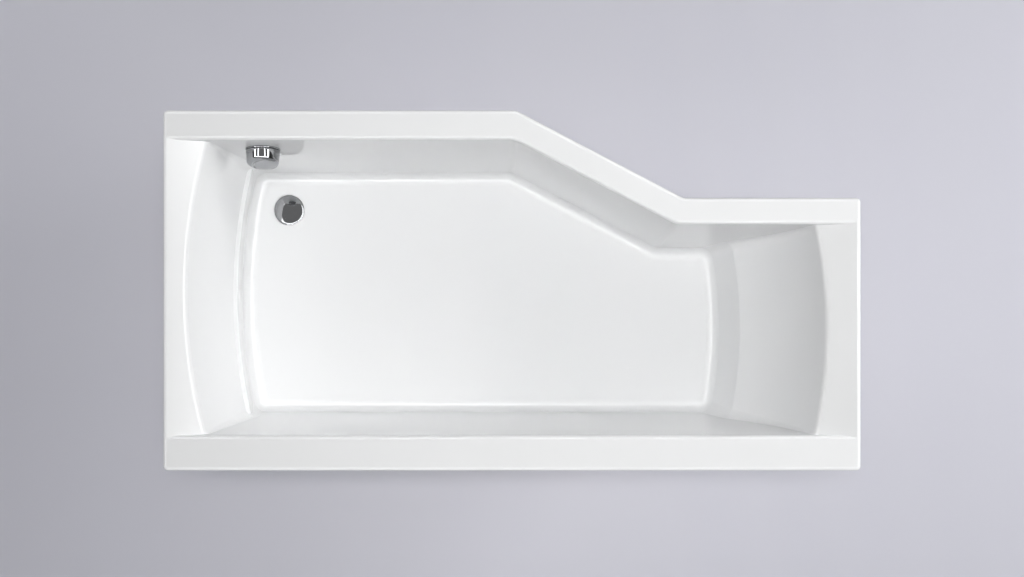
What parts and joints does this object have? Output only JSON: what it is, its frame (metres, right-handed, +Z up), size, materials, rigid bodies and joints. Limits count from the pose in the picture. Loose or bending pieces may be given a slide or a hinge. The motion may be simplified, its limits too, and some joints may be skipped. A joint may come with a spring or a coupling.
{
  "type": "corner bathtub",
  "caption": "Space-saving built-in acrylic bathtub with a chamfered rim, sloping end decks, a backrest, a turning overflow knob that lifts the drain plug, and levelling feet.",
  "frame": {"origin": "on the bathroom floor under the middle of the rim", "axes": "+Z up, +X along the tub from the foot end with the drain to the backrest, +Y to the chamfered side"},
  "size_m": [1.5, 0.775, 0.58],
  "materials": {
    "acrylic": "gloss white acrylic",
    "chrome": "polished",
    "seal": "matt black",
    "pipework": "satin",
    "nut_plastic": "satin",
    "works": "satin",
    "pin_steel": "bright",
    "cable": "matt",
    "board": "raw chipboard",
    "rail": "galvanised",
    "fastener": "zinc plated",
    "rod": "zinc plated",
    "foot": "matt black"
  },
  "bodies": {
    "tub": {"tub_shell": "acrylic", "overflow_rosette": "chrome", "waste_flange": "chrome", "flange_gasket": "seal", "waste_gasket": "seal", "trap_seal": "seal", "overflow_gasket": "seal", "waste_body": "pipework", "trap_bend": "pipework", "overflow_body": "pipework", "overflow_pipe": "pipework", "trap_nut": "nut_plastic", "pipe_nut_upper": "nut_plastic", "pipe_nut_lower": "nut_plastic", "lever_pin": "pin_steel", "pull_cable": "cable", "base_board": "board", "foot_end_rail": "rail", "head_end_rail": "rail", "rail_screws": "fastener", "upper_nuts": "fastener", "lower_nuts": "fastener", "upper_washers": "fastener", "lower_washers": "fastener"},
    "knob": {"overflow_knob": "chrome", "knob_spindle": "pin_steel", "cable_crank": "works"},
    "plug": {"drain_plug": "chrome", "plug_seal": "seal"},
    "lever": {"lift_lever": "works"},
    "foot_back_leg": {"levelling_rod_foot_back": "rod", "foot_pad_foot_back": "foot"},
    "foot_front_leg": {"levelling_rod_foot_front": "rod", "foot_pad_foot_front": "foot"},
    "head_back_leg": {"levelling_rod_head_back": "rod", "foot_pad_head_back": "foot"},
    "head_front_leg": {"levelling_rod_head_front": "rod", "foot_pad_head_front": "foot"}
  },
  "joints": [
    {"name": "knob_turn", "type": "hinge", "parent": "tub", "child": "knob", "pos_m": [-0.5516, 0.31663, 0.48], "axis": [0, -0.9969, 0.0785], "range_deg": [0, 90]},
    {"name": "plug_lift", "type": "slide", "parent": "tub", "child": "plug", "axis": [0, 0, 1], "range_m": [0, 0.012]},
    {"name": "lever_swing", "type": "hinge", "parent": "tub", "child": "lever", "pos_m": [-0.54206, 0.2229, 0.10911], "axis": [-0.9958, -0.0921, 0], "range_deg": [0, 39]},
    {"name": "foot_back_level", "type": "slide", "parent": "tub", "child": "foot_back_leg", "axis": [0, 0, -1], "range_m": [0, 0.03]},
    {"name": "foot_front_level", "type": "slide", "parent": "tub", "child": "foot_front_leg", "axis": [0, 0, -1], "range_m": [0, 0.03]},
    {"name": "head_back_level", "type": "slide", "parent": "tub", "child": "head_back_leg", "axis": [0, 0, -1], "range_m": [0, 0.03]},
    {"name": "head_front_level", "type": "slide", "parent": "tub", "child": "head_front_leg", "axis": [0, 0, -1], "range_m": [0, 0.03]}
  ],
  "couplings": [
    {"joint": "plug_lift", "follows": "knob_turn", "m_per_rad": 0.007639},
    {"joint": "lever_swing", "follows": "knob_turn", "ratio": 0.43333}
  ]
}
